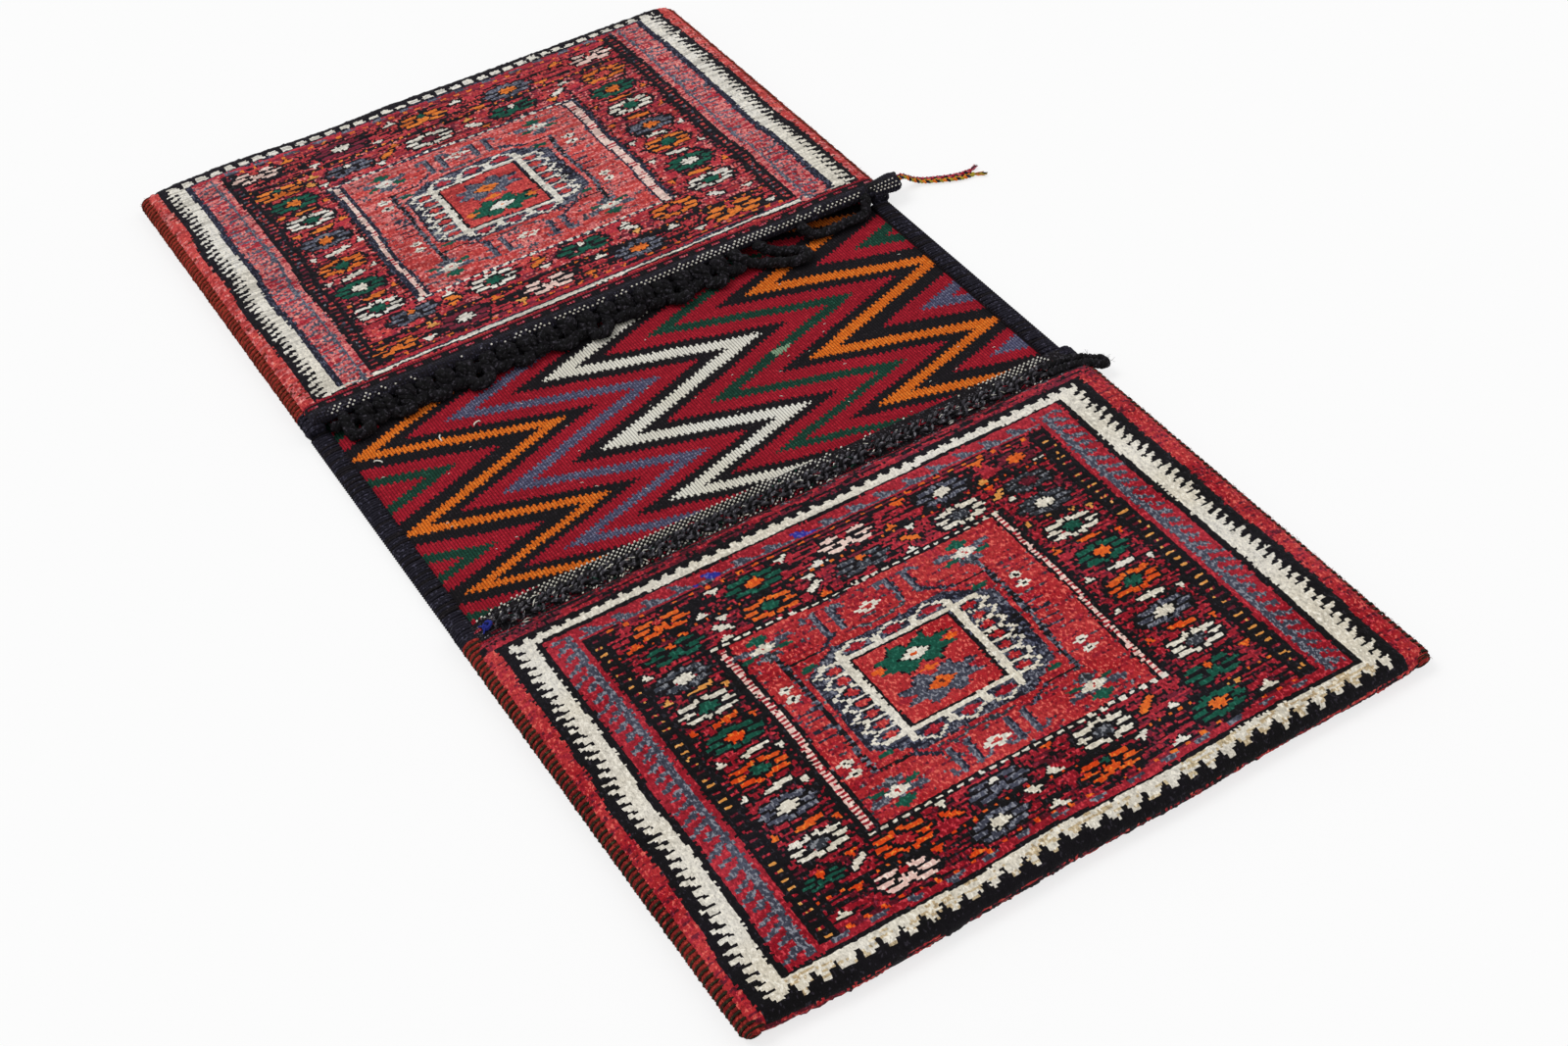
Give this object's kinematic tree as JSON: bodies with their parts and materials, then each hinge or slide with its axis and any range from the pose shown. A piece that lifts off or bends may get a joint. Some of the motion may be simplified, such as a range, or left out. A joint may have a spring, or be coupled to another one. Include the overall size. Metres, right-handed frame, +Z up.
{
  "type": "woven saddle bag",
  "caption": "Wool saddle bag lying flat, with a pile-faced pocket at each end of a flat-woven bridge, overcast sides, goat-hair closing loops, lacing and a plaited corner tie.",
  "frame": {"origin": "on the flat underside, at the middle of the bag's length and width", "axes": "+X across the weave to the right, +Y along the weave from the near pocket to the far pocket, +Z up from the surface it lies on"},
  "size_m": [0.6988, 1.163, 0.0277],
  "materials": {
    "wool_pile": "matte knotted wool pile and weft-faced flat weave",
    "red_whipping": "matte overcast wool stitches",
    "dark_binding": "matte overcast dark wool",
    "goat_hair": "coarse goat hair with a slight sheen",
    "plaited_wool": "matte plaited wool",
    "blue_yarn": "matte wool yarn"
  },
  "bodies": {
    "root": {"bridge_binding_left": "dark_binding", "bridge_binding_right": "dark_binding", "corner_tie": "plaited_wool", "far_hem_end": "goat_hair", "far_loop_01": "goat_hair", "far_loop_02": "goat_hair", "far_loop_03": "goat_hair", "far_loop_04": "goat_hair", "far_loop_05": "goat_hair", "far_loop_06": "goat_hair", "far_loop_07": "goat_hair", "far_loop_08": "goat_hair", "far_loop_09": "goat_hair", "far_loop_10": "goat_hair", "far_loop_along_mouth": "goat_hair", "far_loop_slanting": "goat_hair", "near_lace_01": "goat_hair", "near_lace_02": "goat_hair", "near_lace_03": "goat_hair", "near_lace_04": "goat_hair", "near_lace_05": "goat_hair", "near_lace_06": "goat_hair", "near_lace_07": "goat_hair", "near_lace_08": "goat_hair", "near_lace_09": "goat_hair", "near_lace_10": "goat_hair", "near_lace_11": "goat_hair", "near_lace_12": "goat_hair", "near_lace_13": "goat_hair", "near_lace_14": "goat_hair", "near_lace_15": "goat_hair", "near_lace_16": "goat_hair", "near_lace_17": "goat_hair", "near_lace_18": "goat_hair", "near_lace_19": "goat_hair", "near_lace_20": "goat_hair", "near_lace_21": "goat_hair", "near_lace_22": "goat_hair", "near_lace_23": "goat_hair", "near_lace_24": "goat_hair", "near_lace_25": "goat_hair", "near_lace_26": "goat_hair", "near_lace_27": "goat_hair", "near_lace_28": "goat_hair", "near_lace_29": "goat_hair", "near_lace_30": "goat_hair", "near_lace_end_loop": "goat_hair", "near_yarn_knot": "blue_yarn", "side_seam_far_left": "red_whipping", "side_seam_far_right": "red_whipping", "side_seam_near_left": "red_whipping", "side_seam_near_right": "red_whipping", "woven_body": "wool_pile"}
  },
  "joints": []
}
